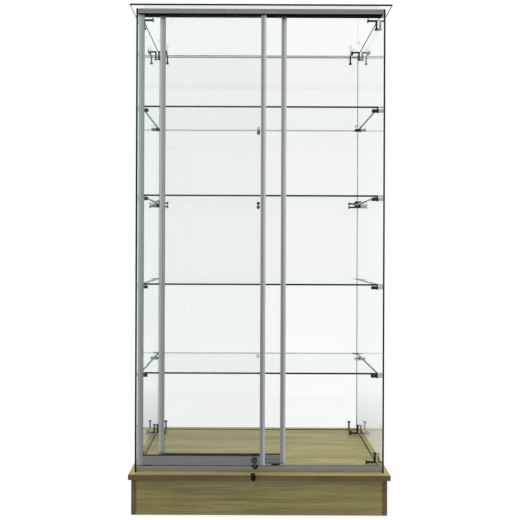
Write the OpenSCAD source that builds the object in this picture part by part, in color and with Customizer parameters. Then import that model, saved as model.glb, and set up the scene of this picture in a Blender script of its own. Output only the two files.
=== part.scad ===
// Floor-standing glass display case with two sliding doors on a wooden plinth.
// Origin: centre of the plinth's footprint at floor level. +X right, +Y to the back, +Z up.
// The front, with the doors, faces -Y. Millimetres throughout.

/* [Overall size] */
// Width of the deck and the top glass
case_w = 900; // [860:10:1000]
// Depth of the deck and the top glass
case_d = 400; // [390:10:480]
// Height from the floor to the top of the top glass
case_h = 1759; // [1700:1:1900]

/* [Plinth] */
// Thickness of the skirt boards and the deck
board_t = 18; // [16:1:22]
// Height of the skirt boards
skirt_h = 124; // [100:1:160]
// How far the skirt's front and back stand in from the deck's edge
skirt_in_y = 9; // [4:1:14]
// How far the skirt's sides stand in from the deck's edge
skirt_in_x = 9; // [4:1:14]
// Thickness of the edging strips
edging_t = 1; // [0.8:0.1:2]
// Height of the glides under the skirt
glide_h = 3; // [2:0.5:6]

/* [Glass] */
// Thickness of the case's panels and shelves
glass_t = 6; // [5:1:8]
// Overhang of the deck and the top glass past the side panels
overhang = 18; // [14:1:24]
// Number of shelves
shelf_count = 4; // [4]
// Height of the lowest shelf's middle above the floor
shelf_first = 474.3; // [440:0.1:500]
// Distance from one shelf to the next
shelf_pitch = 318.8; // [300:0.1:330]
// Gap between the shelf's front edge and the case's front
shelf_set_back = 53; // [50:1:80]

/* [Doors] */
// Width of each door
door_w = 444; // [430:1:460]
// Thickness of the doors' glass
door_glass_t = 5; // [4:1:5]
// Width of a door's upright profiles
stile_w = 18; // [16:1:22]
// Height of a door's bottom rail
rail_h = 31.5; // [30:0.5:36]
// How far door B stands open to the left of its closed place
door_b_open = 333; // [60:1:400]

/* [Lock] */
// How far in from door A's right edge the lock's axis stands
lock_in = 35.5; // [32:0.5:60]
// How far the lock's barrel travels when it is pushed in
lock_travel = 5; // [4:0.5:5]

/* [Hidden] */
$fn = 48;

// Finishes
oak = [0.62, 0.58, 0.42];
oak_edge = [0.38, 0.33, 0.22];
clear = [0.78, 0.88, 0.84, 0.35];
anodised = [0.55, 0.58, 0.58];
nickel = [0.30, 0.31, 0.30];
black = [0.05, 0.05, 0.05];
zinc = [0.70, 0.70, 0.68];
eps = 1;

// Plinth
skirt_x = case_w / 2 - skirt_in_x;
skirt_y = case_d / 2 - skirt_in_y;
skirt_top = glide_h + skirt_h;
deck_top = skirt_top + board_t;
glide_r = 15;
glide_in = 24;
block_side = 40;
block_h = 60;
screw_r = 2;
screw_head_r = 4;
screw_head_h = 2.5;
screw_clearance = 0.05;
screw_bite = 12;

// Glass box
glass_out_x = case_w / 2 - overhang;
glass_in_x = glass_out_x - glass_t;
glass_out_y = case_d / 2 - overhang;
glass_in_y = glass_out_y - glass_t;
glass_top = case_h - glass_t;
shelf_gap = 1.5;
shelf_front = -glass_out_y + shelf_set_back;
shelf_back = glass_in_y - shelf_gap;
shelf_x = glass_in_x - shelf_gap;
function shelf_z(i) = shelf_first + i * shelf_pitch;

// Shelf studs: a round stud with a flat seat on top, bonded to a panel
stud_r = 6;
stud_len = 23;
stud_flange_r = 7.5;
stud_flange_t = 3;
stud_flat = 5.5;
pad_r = 4.5;
pad_t = 2.5;
stud_front_y = -120;
stud_back_y = 128;

// Bonded angle brackets: a round rod bent square, with a round head on each end
rod_r = 3.6;
rod_off = 6.6;
head_r = 7;
head_t = 4.5;
head_round = 1.2;
leg = 31;
arm = 31;
front_bracket_y = -117;
back_bracket_y = 130;
back_bracket_x = 34;
middle_bracket_drop = 7.5;

// Tracks and doors
door_t = 8;
door_a_y = -169.5;
door_b_y = -158.5;
track_t = 1.4;
track_front = -glass_out_y + 1;
track_back = -152.4;
top_track_h = 16;
bottom_track_front = -176;
bottom_track_h = 19;
track_base_t = 2;
divider_y = -164;
rib_h = 13.8;
rib_t = 1.4;
track_inner_wall = -174.9;
door_a_x = -glass_in_x + shelf_gap;
door_b_closed_x = glass_in_x - shelf_gap - door_w;
door_b_x = door_b_closed_x - door_b_open;
door_low = deck_top + 21.5;
door_high = glass_top - 8;
rail_top = door_low + rail_h;
stile_slot = 8;
slot_gap = 0.1;
line_w = 1.2;
line_depth = 0.7;
line_in = 5;

// Rail: hollow for the carriages below, a solid web, and the pocket for the glass above
rail_wall = 1.2;
rail_hollow_h = 11.5;
pocket_h = 10;
gasket_lip = 1;
web_z = rail_top - pocket_h - 5;
groove_h = 8.5;
groove_depth = 3.5;
notch_w = 7.4;
buffer_r = 4;
buffer_t = 1.4;
buffer_low = 300;
buffer_high = 1600;

// Carriages and wheels
wheel_r = 6;
wheel_run_r = 5;
wheel_w = 3;
wheel_groove_w = 1.9;
axle_r = 1.5;
axle_fit = 0.05;
carriage_len = 30;
carriage_w = 5.4;
carriage_slot_w = 3.4;
carriage_slot_len = 14;
wheel_in = 34;
run_gap = 0.1;
wheel_z = deck_top + rib_h + run_gap + wheel_run_r;
carriage_low = wheel_z - 2.6;

// Lock, on an axis along Y
lock_x = door_a_x + door_w - lock_in;
lock_z = web_z;
door_a_front = door_a_y - door_t / 2;
door_a_rear = door_a_y + door_t / 2;
flange_r = 9.5;
flange_t = 2.5;
tube_r = 7.5;
tube_front = door_a_front - 11.5;
neck_r = 4.45;
neck_fit = 0.05;
chamber_end = door_a_front - 1;
barrel_r = 5.45;
barrel_bore_r = 5.5;
barrel_front = door_a_front - 18.5;
barrel_rear = chamber_end - lock_travel - 0.1;
plunger_r = 3;
plunger_bore_r = 3.05;
spring_pocket = 3.4;
spring_pocket_r = 4.7;
spring_wire = 0.7;
spring_mean_r = 3.9;
spring_turns = 4;
plug_r = 3.75;
plug_bore_r = 3.8;
plug_front = barrel_front - 0.4;
plug_len = 8.3;

// Keys: a metal blade and a plastic bow with a hole for the ring
blade_len = 20;
blade_w = 5.6;
blade_t = 1.6;
blade_slot_gap = 0.1;
bow_len = 26;
bow_r = 10.25;
bow_t = 3;
bow_neck_w = 13;
bow_hole_r = 3.3;
bow_hole_in = 6.3;
key_tip_y = plug_front + 7.4;
key_hole_y = key_tip_y - blade_len - bow_len + bow_hole_in;
ring_r = 11;
ring_wire_r = 0.8;
ring_turn = 40;
ring_chord = 8.3;
ring_drop = sqrt(ring_r * ring_r - ring_chord * ring_chord);
ring_x = lock_x - ring_chord * sin(ring_turn);
ring_y = key_hole_y - ring_chord * cos(ring_turn);
ring_z = lock_z - ring_drop;
spare_hole_z = ring_z - ring_r - (bow_hole_r - ring_wire_r - 0.2);

// A box from its low corner to its high corner
module box(lo, hi) {
    translate(lo) cube([for (i = [0:2]) hi[i] - lo[i]]);
}

// A profile drawn in (y, z), extruded along X from x0 over a length
module along_x(x0, len) {
    translate([x0, 0, 0]) rotate([90, 0, 90]) linear_extrude(len) children();
}

// A rectangle in a profile from (y0, z0) to (y1, z1)
module rect(y0, z0, y1, z1) {
    translate([y0, z0]) square([y1 - y0, z1 - z0]);
}

module both_sides() {
    children();
    mirror([1, 0, 0]) children();
}

// ---- Plinth ----

// One glide under each corner and one under the middle of the cross rail
module glides() {
    corners = [for (x = [-1, 1], y = [-1, 1]) [x * (skirt_x - glide_in), y * (skirt_y - glide_in)]];
    color(black)
    for (at = concat(corners, [[0, 0]]))
        translate(at) {
            translate([0, 0, 1]) cylinder(r = glide_r, h = glide_h - 1);
            cylinder(r1 = glide_r - 1, r2 = glide_r, h = 1);
        }
}

module skirt_cross_board(y0) {
    color(oak)
    box([-skirt_x + board_t, y0, glide_h], [skirt_x - board_t, y0 + board_t, skirt_top]);
}

module skirt_side_board(x0) {
    color(oak)
    box([x0, -skirt_y + edging_t, glide_h], [x0 + board_t, skirt_y - edging_t, skirt_top]);
}

// Board from front to back under the middle of the deck
module cross_rail() {
    inner_y = skirt_y - board_t;
    color(oak_edge)
    box([-board_t / 2, -inner_y, glide_h], [board_t / 2, inner_y, skirt_top]);
}

module skirt_edging() {
    color(oak_edge)
    both_sides()
    for (y = [-skirt_y, skirt_y - edging_t])
        box([skirt_x - board_t, y, glide_h], [skirt_x, y + edging_t, skirt_top]);
}

module at_blocks() {
    for (x = [-1, 1], y = [-1, 1])
        translate([
            x * (skirt_x - board_t - block_side / 2),
            y * (skirt_y - board_t - block_side / 2),
            skirt_top - block_h
        ])
        children();
}

module corner_blocks() {
    color(oak_edge)
    at_blocks()
    difference() {
        translate([-block_side / 2, -block_side / 2, 0]) cube([block_side, block_side, block_h]);
        translate([0, 0, -eps]) cylinder(r = screw_r + screw_clearance, h = block_h + 2 * eps);
    }
}

module plinth_screws() {
    color(zinc)
    at_blocks() {
        translate([0, 0, -screw_head_h]) cylinder(r = screw_head_r, h = screw_head_h);
        cylinder(r = screw_r, h = block_h + screw_bite);
    }
}

module deck() {
    color(oak)
    difference() {
        box(
            [-case_w / 2 + edging_t, -case_d / 2 + edging_t, skirt_top],
            [case_w / 2 - edging_t, case_d / 2 - edging_t, deck_top]
        );
        at_blocks() cylinder(r = screw_r + screw_clearance, h = block_h + screw_bite);
        at_track_screws()
        translate([0, 0, -screw_bite]) cylinder(r = screw_r + screw_clearance, h = 2 * screw_bite);
    }
}

module deck_edging() {
    color(oak_edge) {
        for (y = [-case_d / 2, case_d / 2 - edging_t])
            box([-case_w / 2, y, skirt_top], [case_w / 2, y + edging_t, deck_top]);
        both_sides()
        box(
            [case_w / 2 - edging_t, -case_d / 2 + edging_t, skirt_top],
            [case_w / 2, case_d / 2 - edging_t, deck_top]
        );
    }
}

// ---- Glass box ----

module side_glass(x0) {
    color(clear)
    box([x0, -glass_out_y, deck_top], [x0 + glass_t, glass_out_y, glass_top]);
}

module back_glass() {
    color(clear)
    box([-glass_in_x, glass_in_y, deck_top], [glass_in_x, glass_out_y, glass_top]);
}

module top_glass() {
    color(clear)
    box([-case_w / 2, -case_d / 2, glass_top], [case_w / 2, case_d / 2, case_h]);
}

module top_track() {
    low = glass_top - top_track_h;
    color(anodised)
    along_x(-glass_in_x, 2 * glass_in_x) {
        rect(track_front, glass_top - track_base_t, track_back, glass_top);
        rect(track_front, low, track_front + track_t, glass_top);
        rect(track_front, low, track_inner_wall + track_t / 2, low + track_t);
        for (y = [track_inner_wall, divider_y, track_back - track_t / 2])
            rect(y - track_t / 2, low, y + track_t / 2, glass_top);
    }
}

module at_track_screws() {
    for (x = [-1, 1], f = [0.3, 0.9])
        translate([x * f * glass_in_x, divider_y, deck_top]) children();
}

module bottom_track() {
    color(anodised)
    difference() {
        along_x(-glass_in_x, 2 * glass_in_x) {
            rect(bottom_track_front, deck_top, track_back, deck_top + track_base_t);
            rect(bottom_track_front, deck_top, bottom_track_front + track_t, deck_top + bottom_track_h);
            rect(track_back - track_t, deck_top, track_back, deck_top + rib_h);
            for (y = [door_a_y, door_b_y])
                rect(y - rib_t / 2, deck_top, y + rib_t / 2, deck_top + rib_h);
        }
        at_track_screws()
        translate([0, 0, -eps]) cylinder(r = screw_r + screw_clearance, h = track_base_t + 2 * eps);
    }
}

module track_screws() {
    color(zinc)
    at_track_screws() {
        translate([0, 0, track_base_t]) cylinder(r1 = screw_head_r, r2 = screw_head_r - 1, h = 2);
        translate([0, 0, -screw_bite]) cylinder(r = screw_r, h = screw_bite + track_base_t);
    }
}

// Clear bumpers on the side panels where each door shuts
module door_buffers() {
    color(clear)
    for (z = [buffer_low, buffer_high]) {
        translate([-glass_in_x, door_a_y, z]) rotate([0, 90, 0]) cylinder(r = buffer_r, h = buffer_t);
        translate([glass_in_x - buffer_t, door_b_y, z])
        rotate([0, 90, 0]) cylinder(r = buffer_r, h = buffer_t);
    }
}

// ---- Shelves and their supports ----

module shelf(i) {
    color(clear)
    box(
        [-shelf_x, shelf_front, shelf_z(i) - glass_t / 2],
        [shelf_x, shelf_back, shelf_z(i) + glass_t / 2]
    );
}

// Places each stud of one shelf: its bonded end at the panel, pointing along local +X
module at_studs(i) {
    z = shelf_z(i) - glass_t / 2 - stud_flat - pad_t;
    for (y = [stud_front_y, stud_back_y]) {
        translate([-glass_in_x, y, z]) children();
        translate([glass_in_x, y, z]) rotate([0, 0, 180]) children();
    }
    translate([0, glass_in_y, z]) rotate([0, 0, -90]) children();
}

module shelf_studs(i) {
    color(nickel)
    at_studs(i)
    difference() {
        rotate([0, 90, 0]) {
            cylinder(r = stud_r, h = stud_len - 1);
            translate([0, 0, stud_len - 1]) cylinder(r1 = stud_r, r2 = stud_r - 1, h = 1);
            cylinder(r = stud_flange_r, h = stud_flange_t);
        }
        translate([stud_flange_t, -stud_r - eps, stud_flat]) cube([stud_len, 2 * (stud_r + eps), stud_r]);
    }
}

module shelf_pads() {
    color(clear)
    for (i = [0:shelf_count - 1])
        at_studs(i)
        translate([stud_len - 8, 0, stud_flat]) cylinder(r = pad_r, h = pad_t);
}

// ---- Bonded angle brackets ----

// A rod along local +Z with a head on its far end. The head has a flat on its local +X side,
// where it is bonded to a panel that stands rod_off away from the rod's middle.
module headed_rod(len) {
    cylinder(r = rod_r, h = len);
    difference() {
        translate([0, 0, len - head_t / 2]) {
            cylinder(r1 = head_r - head_round, r2 = head_r, h = head_round);
            translate([0, 0, head_round]) cylinder(r = head_r, h = head_t - 2 * head_round);
            translate([0, 0, head_t - head_round])
            cylinder(r1 = head_r, r2 = head_r - head_round, h = head_round);
        }
        translate([rod_off, -head_r, len - head_t]) cube([head_r, 2 * head_r, 2 * head_t]);
    }
}

// A bracket in the corner of a wall at x = 0 and a ceiling at z = 0, on their -X and -Z sides
module bracket() {
    translate([-rod_off, 0, -rod_off]) {
        sphere(r = rod_r);
        mirror([0, 0, 1]) headed_rod(leg);
        rotate([0, -90, 0]) headed_rod(arm);
    }
}

// Two brackets in a back corner: one on the side panel and one on the back panel
module back_corner() {
    translate([glass_in_x, back_bracket_y, 0]) bracket();
    translate([glass_in_x - back_bracket_x, glass_in_y, 0]) rotate([0, 0, 90]) bracket();
}

module top_front_brackets() {
    color(nickel)
    both_sides()
    translate([glass_in_x, front_bracket_y, glass_top]) bracket();
}

module top_back_brackets() {
    color(nickel)
    both_sides()
    translate([0, 0, glass_top]) back_corner();
}

module bottom_front_brackets() {
    color(nickel)
    both_sides()
    translate([glass_in_x, front_bracket_y, deck_top]) mirror([0, 0, 1]) bracket();
}

module bottom_back_brackets() {
    color(nickel)
    both_sides()
    translate([0, 0, deck_top]) mirror([0, 0, 1]) back_corner();
}

// Level brackets between the side panels and the back panel, under the third shelf
module middle_back_brackets() {
    z = shelf_z(2) - glass_t / 2 - middle_bracket_drop;
    color(nickel)
    both_sides()
    translate([glass_in_x, glass_in_y, z]) rotate([-90, 0, 0]) bracket();
}

// ---- Doors ----

module door_glass(x0, y) {
    color(clear)
    box(
        [x0 + stile_w - stile_slot, y - door_glass_t / 2, rail_top - pocket_h],
        [x0 + door_w - stile_w + stile_slot, y + door_glass_t / 2, door_high]
    );
}

// An upright profile; inner is 1 when the glass is on its +X side and -1 when on its -X side
module stile(x_outer, y, inner) {
    slot = door_glass_t / 2 + slot_gap;
    translate([x_outer, y, door_low])
    mirror([inner < 0 ? 1 : 0, 0, 0])
    linear_extrude(door_high - door_low)
    difference() {
        translate([0, -door_t / 2]) square([stile_w, door_t]);
        translate([stile_w - stile_slot - slot_gap, -slot]) square([stile_slot + slot_gap + eps, 2 * slot]);
        translate([stile_w - line_in - line_w, -door_t / 2 - eps]) square([line_w, line_depth + eps]);
    }
}

module door_a_stile_right() {
    color(anodised) stile(door_a_x + door_w, door_a_y, -1);
}

// Door B's left upright has a notch that takes the lock's plunger when both doors are shut
module door_b_stile_left() {
    color(anodised)
    difference() {
        stile(door_b_x, door_b_y, 1);
        translate([door_b_x - eps, door_b_y - door_t / 2 - eps, lock_z - groove_h / 2])
        cube([notch_w + eps, groove_depth + eps, groove_h]);
    }
}

// The rail's profile about its own mid plane, in (y, z)
module rail_profile() {
    in = door_t / 2 - rail_wall;
    slot = door_glass_t / 2 + slot_gap;
    difference() {
        rect(-door_t / 2, door_low, door_t / 2, rail_top);
        rect(-in, door_low - eps, in, door_low + rail_hollow_h);
        rect(-slot, rail_top - pocket_h, slot, rail_top + eps);
    }
}

module rail_blank(x0, y) {
    translate([0, y, 0]) along_x(x0 + stile_w, door_w - 2 * stile_w) rail_profile();
}

module door_a_rail() {
    color(anodised)
    difference() {
        rail_blank(door_a_x, door_a_y);
        translate([lock_x, door_a_rear + eps, lock_z])
        rotate([90, 0, 0]) cylinder(r = neck_r + neck_fit, h = door_t + 2 * eps);
    }
}

// Door B's rail has a groove along its front, which the lock's plunger runs in
module door_b_rail() {
    color(anodised)
    difference() {
        rail_blank(door_b_x, door_b_y);
        translate([0, door_b_y, 0])
        along_x(door_b_x, door_w)
        rect(-door_t / 2 - eps, lock_z - groove_h / 2, -door_t / 2 + groove_depth, lock_z + groove_h / 2);
    }
}

// Black glazing strips on the rail's top edges, one in front of the glass and one behind it
module gasket(x0, y) {
    color(black)
    for (side = [-1, 1])
        translate([0, y, 0])
        along_x(x0 + stile_w, door_w - 2 * stile_w)
        rect(
            side < 0 ? -door_t / 2 : door_glass_t / 2,
            rail_top,
            side < 0 ? -door_glass_t / 2 : door_t / 2,
            rail_top + gasket_lip
        );
}

function wheel_x(x0, side) = side < 0 ? x0 + wheel_in : x0 + door_w - wheel_in;

module at_wheel(x0, y, side) {
    translate([wheel_x(x0, side), y, wheel_z]) rotate([90, 0, 0]) children();
}

module carriages(x0, y) {
    color(black)
    for (side = [-1, 1])
        difference() {
            box(
                [wheel_x(x0, side) - carriage_len / 2, y - carriage_w / 2, carriage_low],
                [wheel_x(x0, side) + carriage_len / 2, y + carriage_w / 2, door_low + rail_hollow_h]
            );
            box(
                [wheel_x(x0, side) - carriage_slot_len / 2, y - carriage_slot_w / 2, carriage_low - eps],
                [wheel_x(x0, side) + carriage_slot_len / 2, y + carriage_slot_w / 2, wheel_z + 8]
            );
            at_wheel(x0, y, side) cylinder(r = axle_r, h = carriage_w + 2 * eps, center = true);
        }
}

module axles(x0, y) {
    color(zinc)
    for (side = [-1, 1])
        at_wheel(x0, y, side) cylinder(r = axle_r, h = carriage_w, center = true);
}

// A grooved wheel that straddles the track's rib
module wheel(x0, y, side) {
    rim_w = (wheel_w - wheel_groove_w) / 2;
    color(zinc)
    at_wheel(x0, y, side)
    difference() {
        union() {
            cylinder(r = wheel_run_r, h = wheel_w, center = true);
            for (s = [-1, 1])
                translate([0, 0, s * (wheel_w - rim_w) / 2]) cylinder(r = wheel_r, h = rim_w, center = true);
        }
        cylinder(r = axle_r + axle_fit, h = wheel_w + 2 * eps, center = true);
    }
}

// ---- Lock and keys ----

// Places children on the lock's axis with local +Z pointing to +Y, from a given y
module on_lock_axis(y) {
    translate([lock_x, y, lock_z]) rotate([-90, 0, 0]) children();
}

module lock_housing() {
    color(nickel)
    difference() {
        union() {
            on_lock_axis(tube_front + 1) cylinder(r = tube_r, h = door_a_front - tube_front - 1);
            on_lock_axis(tube_front) cylinder(r1 = tube_r - 1, r2 = tube_r, h = 1);
            on_lock_axis(door_a_front - flange_t) cylinder(r = flange_r, h = flange_t);
            on_lock_axis(door_a_front) cylinder(r = neck_r, h = door_t);
        }
        on_lock_axis(tube_front - eps) cylinder(r = barrel_bore_r, h = chamber_end - tube_front + eps);
        on_lock_axis(chamber_end - eps) cylinder(r = plunger_bore_r, h = door_t + 3);
    }
}

// The barrel that is pushed in to lock, with the plunger on its back
module lock_barrel() {
    color(nickel)
    difference() {
        union() {
            on_lock_axis(barrel_front + 0.6) cylinder(r = barrel_r, h = barrel_rear - barrel_front - 0.6);
            on_lock_axis(barrel_front) cylinder(r1 = barrel_r - 0.6, r2 = barrel_r, h = 0.6);
            on_lock_axis(barrel_rear - spring_pocket) cylinder(r = plunger_r, h = door_a_rear - barrel_rear + spring_pocket);
        }
        on_lock_axis(barrel_front - eps) cylinder(r = plug_bore_r, h = plug_len - 0.3 + eps);
        difference() {
            on_lock_axis(barrel_rear - spring_pocket) cylinder(r = spring_pocket_r, h = spring_pocket + eps);
            on_lock_axis(barrel_rear - spring_pocket - eps) cylinder(r = plunger_r, h = spring_pocket + 3 * eps);
        }
    }
}

// Return spring, as a wire swept round the plunger
module lock_spring() {
    sides = 8;
    steps = 16 * spring_turns;
    from = barrel_rear - spring_pocket + spring_wire / 2 + 0.05;
    len = chamber_end - 0.05 - spring_wire / 2 - from;
    function ring_point(s, k) =
        let (
            a = 360 * spring_turns * s / steps,
            b = 360 * k / sides,
            r = spring_mean_r + spring_wire / 2 * cos(b)
        )
        [r * cos(a), r * sin(a), len * s / steps + spring_wire / 2 * sin(b)];
    points = [for (s = [0:steps], k = [0:sides - 1]) ring_point(s, k)];
    skin = [
        for (s = [0:steps - 1], k = [0:sides - 1])
            let (n = (k + 1) % sides, a = s * sides, b = a + sides)
            [a + n, a + k, b + k, b + n]
    ];
    first = [for (k = [0:sides - 1]) k];
    last = [for (k = [sides - 1:-1:0]) steps * sides + k];
    color(zinc)
    on_lock_axis(from) polyhedron(points = points, faces = concat(skin, [first], [last]));
}

// The part that the key turns
module lock_plug() {
    slot_w = blade_w + 2 * blade_slot_gap;
    slot_t = blade_t + 2 * blade_slot_gap;
    color(zinc)
    difference() {
        on_lock_axis(plug_front) cylinder(r = plug_r, h = plug_len);
        translate([lock_x - slot_w / 2, plug_front - eps, lock_z - slot_t / 2])
        cube([slot_w, plug_len - 0.6 + eps, slot_t]);
    }
}

// A key lying in the XY plane, its tip at the origin and its bow to -Y
module flat_key() {
    color(zinc)
    difference() {
        translate([-blade_w / 2, -blade_len - 4, -blade_t / 2]) cube([blade_w, blade_len + 4, blade_t]);
        for (i = [0:3])
            translate([blade_w / 2 - 0.9, -4 - 2.6 * i, -blade_t]) cube([2, 1.2, 2 * blade_t]);
    }
    color(black)
    translate([0, 0, -bow_t / 2])
    linear_extrude(bow_t)
    difference() {
        union() {
            translate([0, -blade_len - bow_len + bow_r]) circle(r = bow_r);
            polygon([
                [-bow_neck_w / 2, -blade_len],
                [bow_neck_w / 2, -blade_len],
                [bow_r, -blade_len - bow_len + bow_r],
                [-bow_r, -blade_len - bow_len + bow_r]
            ]);
        }
        translate([0, -blade_len - bow_len + bow_hole_in]) circle(r = bow_hole_r);
    }
}

module key() {
    translate([lock_x, key_tip_y, lock_z]) flat_key();
}

module key_ring() {
    color(zinc)
    translate([ring_x, ring_y, ring_z])
    rotate([0, 0, -ring_turn])
    rotate([0, 90, 0])
    rotate_extrude() translate([ring_r, 0]) circle(r = ring_wire_r, $fn = 24);
}

module spare_key() {
    hang = blade_len + bow_len - bow_hole_in;
    translate([ring_x, ring_y, spare_hole_z - hang])
    rotate([0, 0, -ring_turn])
    rotate([-90, 0, 0])
    flat_key();
}

glides();
skirt_cross_board(-skirt_y);  // skirt_front
skirt_cross_board(skirt_y - board_t);  // skirt_back
skirt_side_board(-skirt_x);  // skirt_left
skirt_side_board(skirt_x - board_t);  // skirt_right
skirt_edging();
cross_rail();
corner_blocks();
plinth_screws();
deck();
deck_edging();
side_glass(-glass_out_x);  // side_glass_left
side_glass(glass_in_x);  // side_glass_right
back_glass();
top_glass();
top_track();
bottom_track();
track_screws();
door_buffers();
shelf(0);  // shelf_1
shelf(1);  // shelf_2
shelf(2);  // shelf_3
shelf(3);  // shelf_4
shelf_studs(0);  // shelf_studs_1
shelf_studs(1);  // shelf_studs_2
shelf_studs(2);  // shelf_studs_3
shelf_studs(3);  // shelf_studs_4
shelf_pads();
top_front_brackets();
top_back_brackets();
middle_back_brackets();
bottom_front_brackets();
bottom_back_brackets();
door_glass(door_a_x, door_a_y);  // door_a_glass
color(anodised) stile(door_a_x, door_a_y, 1);  // door_a_stile_left
door_a_stile_right();
door_a_rail();
gasket(door_a_x, door_a_y);  // door_a_gasket
carriages(door_a_x, door_a_y);  // door_a_carriages
axles(door_a_x, door_a_y);  // door_a_axles
wheel(door_a_x, door_a_y, -1);  // wheel_a_left
wheel(door_a_x, door_a_y, 1);  // wheel_a_right
door_glass(door_b_x, door_b_y);  // door_b_glass
door_b_stile_left();
color(anodised) stile(door_b_x + door_w, door_b_y, -1);  // door_b_stile_right
door_b_rail();
gasket(door_b_x, door_b_y);  // door_b_gasket
carriages(door_b_x, door_b_y);  // door_b_carriages
axles(door_b_x, door_b_y);  // door_b_axles
wheel(door_b_x, door_b_y, -1);  // wheel_b_left
wheel(door_b_x, door_b_y, 1);  // wheel_b_right
lock_housing();
lock_spring();
lock_barrel();
lock_plug();
key();
key_ring();
spare_key();
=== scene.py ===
"""The looks of a floor-standing glass display case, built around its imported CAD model.

Metres, +X right, +Y to the back, +Z up; the doors face -Y. Places on the case come from the boxes
of the CAD nodes. The glass and the studio are tuned to the photo and are not physical values.
"""

import math

import bmesh
import bpy
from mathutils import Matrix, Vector


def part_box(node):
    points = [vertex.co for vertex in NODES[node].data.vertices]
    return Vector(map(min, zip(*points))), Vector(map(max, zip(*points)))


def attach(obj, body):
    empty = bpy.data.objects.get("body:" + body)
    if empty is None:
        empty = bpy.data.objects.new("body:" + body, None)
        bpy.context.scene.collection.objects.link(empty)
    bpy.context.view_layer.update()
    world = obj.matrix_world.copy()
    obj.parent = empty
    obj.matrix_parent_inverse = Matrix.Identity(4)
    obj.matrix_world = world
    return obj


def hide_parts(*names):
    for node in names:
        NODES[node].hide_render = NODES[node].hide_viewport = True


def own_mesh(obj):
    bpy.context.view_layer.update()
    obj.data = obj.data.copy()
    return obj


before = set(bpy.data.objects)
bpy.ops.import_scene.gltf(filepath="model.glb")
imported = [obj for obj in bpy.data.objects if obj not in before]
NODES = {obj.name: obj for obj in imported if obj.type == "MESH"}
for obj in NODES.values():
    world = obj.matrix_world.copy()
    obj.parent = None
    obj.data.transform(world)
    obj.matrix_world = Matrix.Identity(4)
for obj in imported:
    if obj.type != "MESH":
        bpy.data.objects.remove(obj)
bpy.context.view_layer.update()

MM = 0.001
SHELVES = [f"shelf_{i}" for i in range(1, 5)]
# A key's plastic bow, from its outer end to the blade.
KEY_BOW = 26 * MM
# Level glass reflects less from this far inside a shelf's end outwards.
SHELF_RIM = 20 * MM
# How far past a node's front a face still counts as its front face.
FACE_SLACK = 0.5 * MM
GLASS_ARRIS, BOARD_ARRIS, EDGING_ARRIS = 0.35 * MM, 0.5 * MM, 0.3 * MM
ARRIS_ANGLE = math.radians(40)
WELD_GAP = 0.01 * MM
# Thin dark strips painted in as the shadow line at the foot and head of the panels.
SHADOW_LINE_WIDTH, SHADOW_LINE_HEIGHT = 1.6 * MM, 0.5 * MM
SHADOW_LINE_SET_BACK = 30 * MM


# ---- Camera, light and stage ----

CAMERA_AT = Vector((-0.0355, -1.667, 0.913))
CAMERA_LENS = 29.67
CAMERA_ROLL = math.radians(-0.22)
CAMERA_SHIFT = (0.0196, -0.0173)
CAMERA_CLIP = (0.05, 60.0)
SENSOR_WIDTH = 36.0
LIGHT_AT, LIGHT_AIM = (-0.6, -0.8, 3.6), (0, 0, 0.6)
LIGHT_SIZE = (3.0, 2.0)
LIGHT_POWER = 25
FLOOR_HALF = 12.0
FLOOR_GLOW = 0.82
SEE_THROUGH_STEPS = 64
BOUNCES = 12


def add_camera():
    """Level camera at the front, a little left of the middle and at half the case's height."""
    data = bpy.data.cameras.new("camera")
    data.sensor_width = SENSOR_WIDTH
    data.lens = CAMERA_LENS
    data.shift_x, data.shift_y = CAMERA_SHIFT
    data.clip_start, data.clip_end = CAMERA_CLIP
    camera = bpy.data.objects.new("camera", data)
    bpy.context.scene.collection.objects.link(camera)
    camera.location = CAMERA_AT
    camera.rotation_euler = (math.radians(90), CAMERA_ROLL, 0)
    bpy.context.scene.camera = camera


def add_light(name, at, target, size, power):
    """A white panel of light that neither the camera nor a mirror sees."""
    data = bpy.data.lights.new(name, "AREA")
    data.shape = "RECTANGLE"
    data.size, data.size_y = size
    data.energy = power
    light = bpy.data.objects.new(name, data)
    bpy.context.scene.collection.objects.link(light)
    light.location = at
    aim = Vector(target) - Vector(at)
    light.rotation_euler = aim.to_track_quat("-Z", "Y").to_euler()
    light.visible_glossy = False
    light.visible_camera = False


def add_world():
    """White to the eye. In mirrors it is dimmer in front. As a light it is brightest overhead."""
    world = bpy.data.worlds.new("studio")
    bpy.context.scene.world = world
    world.use_nodes = True
    world.node_tree.nodes.clear()
    out = node(world, "ShaderNodeOutputWorld")
    seen = node(world, "ShaderNodeBackground")
    mirrored = node(world, "ShaderNodeBackground")
    lit = node(world, "ShaderNodeBackground")
    path = node(world, "ShaderNodeLightPath")
    place = node(world, "ShaderNodeTexCoord")
    split = node(world, "ShaderNodeSeparateXYZ")
    link(world, place.outputs["Generated"], split.inputs[0])
    height = math_node(world, "MULTIPLY_ADD", split.outputs["Z"], 0.5, 0.5)
    light_stops = [(0.45, (0.05,) * 3), (0.65, (0.30, 0.31, 0.32)), (1.0, (2.0, 2.0, 1.98))]
    link(world, ramp(world, height, light_stops), lit.inputs["Color"])
    depth = math_node(world, "MULTIPLY_ADD", split.outputs["Y"], 0.5, 0.5)
    mirror_stops = [(0.1, (0.55, 0.56, 0.57)), (0.5, (0.95,) * 3), (0.6, (1.0,) * 3)]
    link(world, ramp(world, depth, mirror_stops), mirrored.inputs["Color"])
    glossy = node(world, "ShaderNodeMixShader")
    link(world, path.outputs["Is Glossy Ray"], glossy.inputs[0])
    link(world, seen.outputs[0], glossy.inputs[1])
    link(world, mirrored.outputs[0], glossy.inputs[2])
    mix = node(world, "ShaderNodeMixShader")
    link(world, path.outputs["Is Diffuse Ray"], mix.inputs[0])
    link(world, glossy.outputs[0], mix.inputs[1])
    link(world, lit.outputs[0], mix.inputs[2])
    link(world, mix.outputs[0], out.inputs["Surface"])
    seen.inputs["Color"].default_value = (1, 1, 1, 1)


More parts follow.
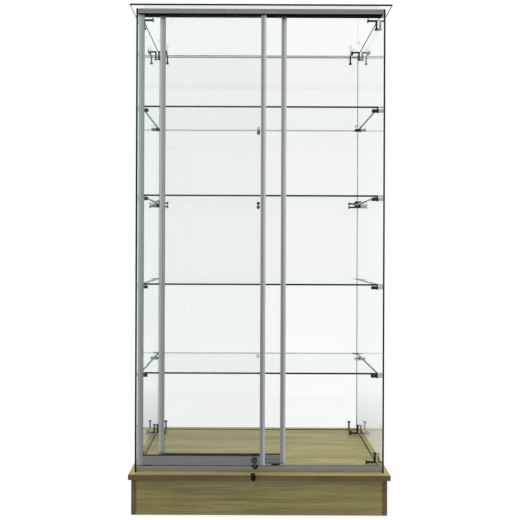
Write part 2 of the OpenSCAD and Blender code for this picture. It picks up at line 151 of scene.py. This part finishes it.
def add_floor():
    """Pale floor. As bounced and mirrored light it is bright behind the case and dim in front."""
    mesh = bpy.data.meshes.new("studio_floor")
    corners = [(x * FLOOR_HALF, y * FLOOR_HALF, 0) for x, y in ((-1, -1), (1, -1), (1, 1), (-1, 1))]
    mesh.from_pydata(corners, [], [(0, 1, 2, 3)])
    floor = bpy.data.objects.new("studio_floor", mesh)
    bpy.context.scene.collection.objects.link(floor)
    material = new_material("studio_floor")
    shader = principled(material, (0.2, 0.2, 0.2), 0.8)
    shader.inputs["Specular IOR Level"].default_value = 0.0
    shader.inputs["Emission Color"].default_value = (1, 1, 1, 1)
    shader.inputs["Emission Strength"].default_value = FLOOR_GLOW
    split = node(material, "ShaderNodeSeparateXYZ")
    link(material, object_place(material, (0.25, 0.25, 0.25), (0, 0.5, 0)), split.inputs[0])
    dim = node(material, "ShaderNodeEmission")
    dim_stops = [(0.35, (0.38,) * 3), (0.55, (0.55,) * 3), (0.8, (1,) * 3)]
    link(material, ramp(material, split.outputs["Y"], dim_stops), dim.inputs["Color"])
    path = node(material, "ShaderNodeLightPath")
    mix = node(material, "ShaderNodeMixShader")
    out = [n for n in material.node_tree.nodes if n.type == "OUTPUT_MATERIAL"][0]
    link(material, path.outputs["Is Camera Ray"], mix.inputs[0])
    link(material, dim.outputs[0], mix.inputs[1])
    link(material, shader.outputs[0], mix.inputs[2])
    link(material, mix.outputs[0], out.inputs["Surface"])
    floor.data.materials.append(material)


# ---- Node helpers ----

def new_material(name):
    material = bpy.data.materials.new(name)
    material.use_nodes = True
    material.node_tree.nodes.clear()
    return material


def node(material, kind, **inputs):
    """Adds a shader node; keyword values set its properties."""
    made = material.node_tree.nodes.new(kind)
    for key, value in inputs.items():
        setattr(made, key, value)
    return made


def link(material, a, b):
    material.node_tree.links.new(a, b)


def principled(material, colour, roughness, metallic=0.0):
    shader = node(material, "ShaderNodeBsdfPrincipled")
    shader.inputs["Base Color"].default_value = (*colour, 1)
    shader.inputs["Roughness"].default_value = roughness
    shader.inputs["Metallic"].default_value = metallic
    out = node(material, "ShaderNodeOutputMaterial")
    link(material, shader.outputs[0], out.inputs["Surface"])
    return shader


def object_place(material, scale=(1, 1, 1), offset=(0, 0, 0)):
    """The object's own coordinates, scaled and moved."""
    place = node(material, "ShaderNodeTexCoord")
    mapping = node(material, "ShaderNodeMapping")
    mapping.inputs["Scale"].default_value = scale
    mapping.inputs["Location"].default_value = offset
    link(material, place.outputs["Object"], mapping.inputs["Vector"])
    return mapping.outputs[0]


def noise(material, place, scale, detail=3.0, rough=0.5, distortion=0.0):
    made = node(material, "ShaderNodeTexNoise")
    made.inputs["Scale"].default_value = scale
    made.inputs["Detail"].default_value = detail
    made.inputs["Roughness"].default_value = rough
    made.inputs["Distortion"].default_value = distortion
    link(material, place, made.inputs["Vector"])
    return made.outputs["Fac"]


def ramp(material, value, stops):
    """A colour ramp over value; stops are (position, colour)."""
    made = node(material, "ShaderNodeValToRGB")
    elements = made.color_ramp.elements
    while len(elements) > 1:
        elements.remove(elements[-1])
    elements[0].position = stops[0][0]
    elements[0].color = (*stops[0][1], 1)
    for position, colour in stops[1:]:
        element = elements.new(position)
        element.color = (*colour, 1)
    link(material, value, made.inputs["Fac"])
    return made.outputs["Color"]


def math_node(material, operation, a, b=None, c=None, clamp=False):
    made = node(material, "ShaderNodeMath", operation=operation, use_clamp=clamp)
    for i, value in enumerate((a, b, c)):
        if value is None:
            continue
        if isinstance(value, (int, float)):
            made.inputs[i].default_value = value
        else:
            link(material, value, made.inputs[i])
    return made.outputs[0]


def mix_colour(material, factor, a, b, blend="MIX"):
    made = node(material, "ShaderNodeMix", data_type="RGBA", blend_type=blend)
    sockets = [s for s in made.inputs if s.enabled]
    for socket, value in zip(sockets, (factor, a, b)):
        if isinstance(value, (int, float)):
            socket.default_value = value
        elif isinstance(value, tuple):
            socket.default_value = (*value, 1)
        else:
            link(material, value, socket)
    return [s for s in made.outputs if s.enabled][0]


def bump(material, shader, height, strength, distance):
    made = node(material, "ShaderNodeBump")
    made.inputs["Strength"].default_value = strength
    made.inputs["Distance"].default_value = distance
    link(material, height, made.inputs["Height"])
    link(material, made.outputs[0], shader.inputs["Normal"])


# ---- Materials ----

GLASS_IOR = 1.52
FACE_NORMAL = 0.9
SIDE_GLOSS, DOOR_GLOSS, BACK_GLOSS, LEVEL_GLOSS = 2.7, 1.0, 2.0, 2.0
PAST_RIM_GLOSS = 0.25
MIRROR_TINT = (0.95, 1.0, 0.98)
EDGE_ROUGHNESS, EDGE_SPECULAR = 0.3, 0.15


def glass_material(name, thin_axis, face_tint, edge_dark, edge_light, gloss, rim=None):
    """Flat glass: clear mirror-smooth faces, and ground edges that show the glass's green.

    thin_axis is the sheet's thin direction, 0, 1 or 2. Polygons whose normal lies along it are
    faces, and the others are edges. A real sheet reflects at both its surfaces. Here the near one
    stands for both, so that the image is single, and gloss is how much stronger than one surface
    it is. Past rim, a distance from the middle along X, the gloss falls to PAST_RIM_GLOSS of it."""
    material = new_material(name)
    normal = node(material, "ShaderNodeNewGeometry")
    split = node(material, "ShaderNodeSeparateXYZ")
    link(material, normal.outputs["True Normal"], split.inputs[0])
    across = math_node(material, "ABSOLUTE", split.outputs[thin_axis])
    is_edge = math_node(material, "LESS_THAN", across, FACE_NORMAL)
    fresnel = node(material, "ShaderNodeFresnel")
    fresnel.inputs["IOR"].default_value = GLASS_IOR
    clear = node(material, "ShaderNodeBsdfTransparent")
    clear.inputs["Color"].default_value = (*face_tint, 1)
    mirror = node(material, "ShaderNodeBsdfGlossy")
    mirror.inputs["Roughness"].default_value = 0.0
    mirror.inputs["Color"].default_value = (*MIRROR_TINT, 1)
    face = node(material, "ShaderNodeMixShader")
    near = math_node(material, "SUBTRACT", 1.0, normal.outputs["Backfacing"])
    shine = math_node(material, "MULTIPLY", fresnel.outputs[0], gloss)
    if rim is not None:
        place = node(material, "ShaderNodeSeparateXYZ")
        link(material, object_place(material), place.inputs[0])
        from_middle = math_node(material, "ABSOLUTE", place.outputs["X"])
        past = math_node(material, "GREATER_THAN", from_middle, rim)
        fall = math_node(material, "MULTIPLY_ADD", past, PAST_RIM_GLOSS - 1.0, 1.0)
        shine = math_node(material, "MULTIPLY", shine, fall)
    link(material, math_node(material, "MULTIPLY", shine, near, clamp=True), face.inputs[0])
    link(material, clear.outputs[0], face.inputs[1])
    link(material, mirror.outputs[0], face.inputs[2])
    edge = node(material, "ShaderNodeBsdfPrincipled")
    streaks = noise(material, object_place(material, (6, 6, 6)), 4.0, 2.0)
    green = ramp(material, streaks, [(0.3, edge_dark), (0.7, edge_light)])
    link(material, green, edge.inputs["Base Color"])
    edge.inputs["Roughness"].default_value = EDGE_ROUGHNESS
    edge.inputs["Specular IOR Level"].default_value = EDGE_SPECULAR
    out = node(material, "ShaderNodeOutputMaterial")
    whole = node(material, "ShaderNodeMixShader")
    link(material, is_edge, whole.inputs[0])
    link(material, face.outputs[0], whole.inputs[1])
    link(material, edge.outputs[0], whole.inputs[2])
    link(material, whole.outputs[0], out.inputs["Surface"])
    return material


def grain_scale(axis, across, along):
    """Noise scale that draws a pattern out along one axis."""
    return [along if i == axis else across for i in range(3)]


def oak_material(name, light, dark, grain_axis=0, roughness=0.42):
    """Oak-effect melamine: broad bands, long streaks and fine pores along grain_axis."""
    material = new_material(name)
    shader = principled(material, light, roughness)
    bands_at = object_place(material, grain_scale(grain_axis, 26.0, 1.3))
    streaks_at = object_place(material, grain_scale(grain_axis, 95.0, 2.2))
    pores_at = object_place(material, grain_scale(grain_axis, 240.0, 6.0))
    broad = noise(material, bands_at, 1.0, 5.0, 0.65, 0.6)
    streaks = noise(material, streaks_at, 1.0, 4.0, 0.7, 0.4)
    fine = noise(material, pores_at, 1.0, 3.0, 0.55)
    middle = tuple((a + b) / 2 for a, b in zip(light, dark))
    base = ramp(material, broad, [(0.28, dark), (0.46, middle), (0.62, light)])
    streak_stops = [(0.36, (0.80, 0.76, 0.68)), (0.52, (1.04,) * 3), (0.66, (1.12,) * 3)]
    grain = ramp(material, streaks, streak_stops)
    base = mix_colour(material, 0.55, base, grain, "MULTIPLY")
    pores = ramp(material, fine, [(0.34, (0.66, 0.62, 0.55)), (0.46, (1.03,) * 3)])
    colour = mix_colour(material, 0.8, base, pores, "MULTIPLY")
    link(material, colour, shader.inputs["Base Color"])
    rough = math_node(material, "MULTIPLY_ADD", fine, 0.18, roughness - 0.09)
    link(material, rough, shader.inputs["Roughness"])
    bump(material, shader, fine, 0.15, 0.0004)
    return material


def aluminium_material(name, colour, roughness=0.34, grain_axis=2, across=None):
    """Satin anodised extrusion: faint die lines along its length.

    across is stops over its width along X: painted shade in its groove and a painted highlight on
    its lip."""
    material = new_material(name)
    shader = principled(material, colour, roughness, 0.85)
    lines = noise(material, object_place(material, grain_scale(grain_axis, 900.0, 3.0)), 1.0, 2.0)
    light = tuple(min(1, c * 1.06) for c in colour)
    dark = tuple(c * 0.92 for c in colour)
    satin_and_painted_shade = ramp(material, lines, [(0.3, dark), (0.7, light)])
    # Painted shade and highlight across the width, multiplied into the satin colour.
    if across is not None:
        place = node(material, "ShaderNodeTexCoord")
        split = node(material, "ShaderNodeSeparateXYZ")
        link(material, place.outputs["Generated"], split.inputs[0])
        painted_shade_and_highlight = ramp(material, split.outputs["X"], [(x, (v, v, v)) for x, v in across])
        satin_and_painted_shade = mix_colour(material, 1.0, satin_and_painted_shade, painted_shade_and_highlight, "MULTIPLY")
    link(material, satin_and_painted_shade, shader.inputs["Base Color"])
    rough = math_node(material, "MULTIPLY_ADD", lines, 0.12, roughness - 0.06)
    link(material, rough, shader.inputs["Roughness"])
    bump(material, shader, lines, 0.08, 0.0002)
    return material


def metal_material(name, colour, roughness, metallic=1.0):
    """Plated metal with faint wear in its polish."""
    material = new_material(name)
    shader = principled(material, colour, roughness, metallic)
    smudge = noise(material, object_place(material, (90, 90, 90)), 1.0, 4.0)
    worn = tuple(c * 0.85 for c in colour)
    plated = ramp(material, smudge, [(0.3, worn), (0.7, colour)])
    link(material, plated, shader.inputs["Base Color"])
    rough = math_node(material, "MULTIPLY_ADD", smudge, 0.2, roughness - 0.08, clamp=True)
    link(material, rough, shader.inputs["Roughness"])
    return material


def plastic_material(name, colour, roughness=0.5, specular=0.2):
    """Moulded plastic or rubber: a fine texture and soft lighter clouds."""
    material = new_material(name)
    shader = principled(material, colour, roughness)
    shader.inputs["Specular IOR Level"].default_value = specular
    grain = noise(material, object_place(material, (1600, 1600, 1600)), 1.0, 2.0)
    soft = noise(material, object_place(material, (60, 60, 60)), 1.0, 3.0)
    lighter = tuple(c * 1.5 + 0.001 for c in colour)
    clouded = ramp(material, soft, [(0.3, colour), (0.75, lighter)])
    link(material, clouded, shader.inputs["Base Color"])
    bump(material, shader, grain, 0.2, 0.0001)
    return material


def build_materials():
    shelf_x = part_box("shelf_1")[1][0]
    edge_dark, edge_light = (0.004, 0.013, 0.010), (0.011, 0.030, 0.023)
    tint = (0.985, 0.99, 0.986)
    door_tint = (0.992, 0.996, 0.993)
    back_tint = (0.965, 0.97, 0.967)
    oak_light, oak_dark = (0.375, 0.335, 0.130), (0.215, 0.182, 0.062)
    # Painted shade and highlight over a stile's width: a dark groove line and a lighter lip,
    # mirrored for the right-hand stiles.
    painted_lip_shade = [(0.0, 0.9), (0.3, 0.8), (0.52, 0.64), (0.56, 0.42), (0.62, 0.64), (1.0, 0.55)]
    painted_lip_shade_mirrored = [(0.0, 0.55), (0.38, 0.5), (0.44, 0.38), (0.5, 0.62), (0.7, 0.85), (1.0, 1.0)]
    return {
        "glass_x": glass_material("glass_x", 0, tint, edge_dark, edge_light, SIDE_GLOSS),
        "glass_y": glass_material("glass_y", 1, door_tint, edge_dark, edge_light, DOOR_GLOSS),
        "glass_back": glass_material("glass_back", 1, back_tint, edge_dark, edge_light, BACK_GLOSS),
        "glass_z": glass_material(
            "glass_z", 2, tint, edge_dark, edge_light, LEVEL_GLOSS, shelf_x - SHELF_RIM
        ),
        "oak": oak_material("oak", oak_light, oak_dark),
        "oak_side": oak_material("oak_side", oak_light, oak_dark, 1),
        "oak_edge": oak_material("oak_edge", (0.19, 0.13, 0.052), (0.135, 0.088, 0.034)),
        "pine": oak_material("pine", (0.60, 0.45, 0.26), (0.48, 0.34, 0.18), 2, 0.6),
        # Lit and shaded copies of one anodised finish: the right-hand stiles get a lighter colour
        # and the mirrored painted shading.
        "stile_left": aluminium_material("stile_left", (0.86, 0.94, 0.92), 0.36, 2, painted_lip_shade),
        "stile_right": aluminium_material("stile_right", (0.96, 1.0, 0.99), 0.36, 2, painted_lip_shade_mirrored),
        "rail": aluminium_material("rail", (0.38, 0.385, 0.39), 0.36, 0),
        "track": aluminium_material("track", (0.46, 0.48, 0.475), 0.36, 0),
        "nickel": metal_material("nickel", (0.055, 0.058, 0.057), 0.2),
        "lock_nickel": metal_material("lock_nickel", (0.15, 0.155, 0.15), 0.28),
        "steel": metal_material("steel", (0.42, 0.38, 0.30), 0.3),
        "zinc": metal_material("zinc", (0.6, 0.6, 0.58), 0.35),
        "black": plastic_material("black", (0.004, 0.004, 0.0045), 0.42, 0.08),
        # Near-black painted shade for the top track's underside and inner walls.
        "painted_track_shade": plastic_material("painted_track_shade", (0.012, 0.014, 0.014), 0.6),
        "rubber": plastic_material("rubber", (0.010, 0.010, 0.010), 0.7),
    }


def clear_rubber():
    material = new_material("clear_rubber")
    shader = principled(material, (0.8, 0.85, 0.83), 0.35)
    shader.inputs["Alpha"].default_value = 0.45
    cloud = noise(material, object_place(material, (200, 200, 200)), 1.0, 2.0)
    milky = ramp(material, cloud, [(0.3, (0.74, 0.80, 0.78)), (0.7, (0.86, 0.90, 0.89))])
    link(material, milky, shader.inputs["Base Color"])
    return material


def paint(nodes, material):
    for name in nodes:
        slots = NODES[name].data.materials
        slots.clear()
        slots.append(material)


def paint_faces(name, material, chosen):
    """Gives one node a second material on the faces that chosen(centre, normal) picks."""
    mesh = NODES[name].data
    mesh.materials.append(material)
    slot = len(mesh.materials) - 1
    for face in mesh.polygons:
        if chosen(face.center, face.normal):
            face.material_index = slot


def paint_frame():
    looks = build_materials()
    track_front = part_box("top_track")[0][1] + FACE_SLACK
    looks["clear_rubber"] = clear_rubber()
    paint(["side_glass_left", "side_glass_right"], looks["glass_x"])
    paint(["door_a_glass", "door_b_glass"], looks["glass_y"])
    paint(["back_glass"], looks["glass_back"])
    paint(["top_glass"] + SHELVES, looks["glass_z"])
    paint(["skirt_front", "skirt_back", "deck"], looks["oak"])
    paint(["skirt_left", "skirt_right"], looks["oak_side"])
    paint(["skirt_edging", "deck_edging"], looks["oak_edge"])
    paint(["cross_rail", "corner_blocks"], looks["pine"])
    paint(["plinth_screws", "track_screws"], looks["zinc"])
    paint(["glides"], looks["black"])
    paint(["top_track", "bottom_track"], looks["track"])
    for door in "ab":
        paint([f"door_{door}_stile_left"], looks["stile_left"])
        paint([f"door_{door}_stile_right"], looks["stile_right"])
        paint([f"door_{door}_rail"], looks["rail"])
        paint([f"door_{door}_gasket"], looks["rubber"])
        paint([f"door_{door}_carriages"], looks["black"])
        paint([f"door_{door}_axles", f"wheel_{door}_left", f"wheel_{door}_right"], looks["zinc"])
    paint(["door_buffers", "shelf_pads"], looks["clear_rubber"])
    paint([f"shelf_studs_{i}" for i in range(1, 5)], looks["nickel"])
    for place in ("top_front", "top_back", "middle_back", "bottom_front", "bottom_back"):
        paint([f"{place}_brackets"], looks["nickel"])
    paint(["lock_housing", "lock_barrel", "lock_plug"], looks["lock_nickel"])
    paint(["lock_spring", "key_ring"], looks["steel"])
    paint(["key", "spare_key"], looks["black"])
    bow_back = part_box("key")[0][1] + KEY_BOW
    paint_faces("key", looks["steel"], lambda c, n: c.y > bow_back)
    bow_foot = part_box("spare_key")[1][2] - KEY_BOW
    paint_faces("spare_key", looks["steel"], lambda c, n: c.z < bow_foot)
    # Painted shade: the top track's downward faces and the inner walls behind its front are
    # near-black.
    paint_faces(
        "top_track",
        looks["painted_track_shade"],
        lambda c, n: n.z < -0.5 or (abs(n.y) > 0.5 and c.y > track_front),
    )
    return looks


# ---- Shapes added to the frame ----

def soften(names, width, segments=2):
    """Rounds the arrises of flat-faced nodes a little, as sanding or grinding leaves them."""
    for name in names:
        weld = NODES[name].modifiers.new("weld", "WELD")
        weld.merge_threshold = WELD_GAP
        bevel = NODES[name].modifiers.new("arris", "BEVEL")
        bevel.width = width
        bevel.segments = segments
        bevel.limit_method = "ANGLE"
        bevel.angle_limit = ARRIS_ANGLE
        bevel.use_clamp_overlap = True


def soften_frame():
    panes = ["side_glass_left", "side_glass_right", "back_glass", "top_glass"]
    panes += ["door_a_glass", "door_b_glass"]
    soften(panes + SHELVES, GLASS_ARRIS, 1)
    soften(["skirt_front", "skirt_back", "skirt_left", "skirt_right", "cross_rail"], BOARD_ARRIS)
    soften(["deck_edging", "skirt_edging"], EDGING_ARRIS)


def strip(name, low, high, material, body="case"):
    """A straight bead between two corners."""
    mesh = bpy.data.meshes.new(name)
    made = bmesh.new()
    bmesh.ops.create_cube(made, size=1)
    for v in made.verts:
        v.co = Vector(((low[i] + high[i]) / 2 + v.co[i] * (high[i] - low[i])) for i in range(3))
    made.to_mesh(mesh)
    made.free()
    strip_object = bpy.data.objects.new(name, mesh)
    bpy.context.scene.collection.objects.link(strip_object)
    mesh.materials.append(material)
    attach(strip_object, body)


def add_shadow_lines(material):
    """Dark strips under and over the panels, a painted shadow line where the glass meets the wood,
    of which a thin line shows inside the case.
    """
    left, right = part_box("side_glass_left"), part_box("side_glass_right")
    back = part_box("back_glass")
    wide, tall = SHADOW_LINE_WIDTH, SHADOW_LINE_HEIGHT
    inner, front, rear = right[0][0], right[0][1] + SHADOW_LINE_SET_BACK, back[0][1]
    bottom, top = right[0][2], right[1][2]
    for level, low, high in (("low", bottom, bottom + tall), ("top", top - tall, top)):
        for side, x in (("left", left[1][0]), ("right", inner - wide)):
            strip(f"painted_shadow_{level}_{side}", (x, front, low), (x + wide, rear, high), material)
        strip(f"painted_shadow_{level}_back", (-inner, rear - wide, low), (inner, rear, high), material)


def add_spring():
    """The lock's spring, as a piece of its own on door_a in place of the CAD node."""
    spring = bpy.data.objects.new("closing_spring", NODES["lock_spring"].data.copy())
    bpy.context.scene.collection.objects.link(spring)
    spring.matrix_world = NODES["lock_spring"].matrix_world.copy()
    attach(spring, "door_a")
    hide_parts("lock_spring")
    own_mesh(spring)


def settings():
    """Plain colours, and enough see-through steps for every sheet of glass in a line."""
    scene = bpy.context.scene
    scene.view_settings.view_transform = "Standard"
    scene.cycles.transparent_max_bounces = SEE_THROUGH_STEPS
    scene.cycles.max_bounces = BOUNCES


settings()
add_camera()
add_world()
add_floor()
add_light("key_light", LIGHT_AT, LIGHT_AIM, LIGHT_SIZE, LIGHT_POWER)
LOOKS = paint_frame()
soften_frame()
# Painted shadow lines along the panels' joints, in the gasket rubber.
add_shadow_lines(LOOKS["rubber"])
add_spring()
